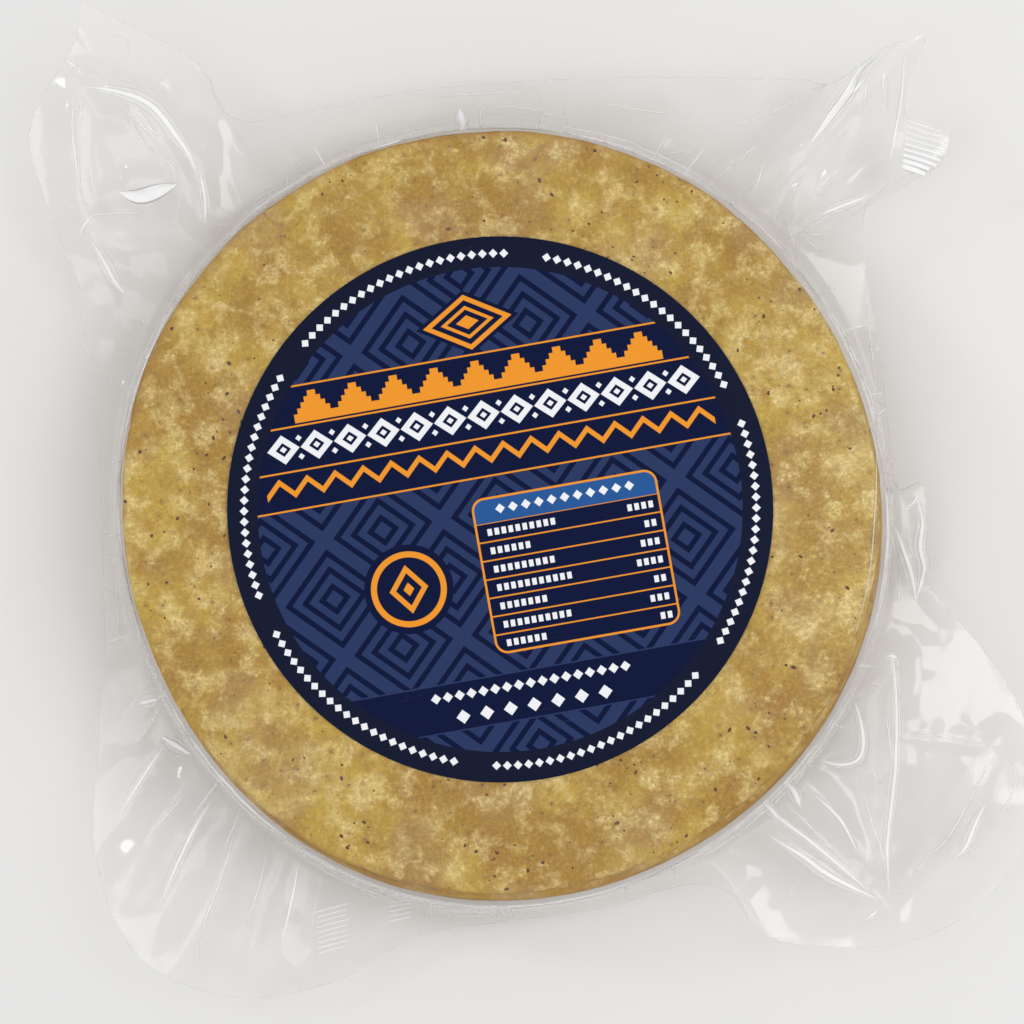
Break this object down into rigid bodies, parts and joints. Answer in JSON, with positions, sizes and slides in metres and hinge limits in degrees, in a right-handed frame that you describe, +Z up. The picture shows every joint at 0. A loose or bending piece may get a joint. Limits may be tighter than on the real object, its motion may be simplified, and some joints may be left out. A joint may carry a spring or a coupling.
{
  "type": "vacuum-packed corn tortillas",
  "caption": "Stack of round corn tortillas sealed flat in a clear vacuum pouch, with wavy film ears at its corners and a round label on top.",
  "frame": {"origin": "centre of the stack, on the flat underside that the pack rests on", "axes": "+Z up through the stack to the label; +X to the right and +Y to the back as the pack lies with its label towards the camera"},
  "size_m": [0.1916, 0.1875, 0.0251],
  "materials": {
    "film": "clear glossy plastic film, drawn tight",
    "tortilla": "matt baked corn dough, golden with paler blotches and small dark specks; leather stands in for it",
    "label": "printed coated paper, dark blue, satin"
  },
  "bodies": {
    "root": {"vacuum_pack": "film", "label": "label"}
  },
  "joints": []
}
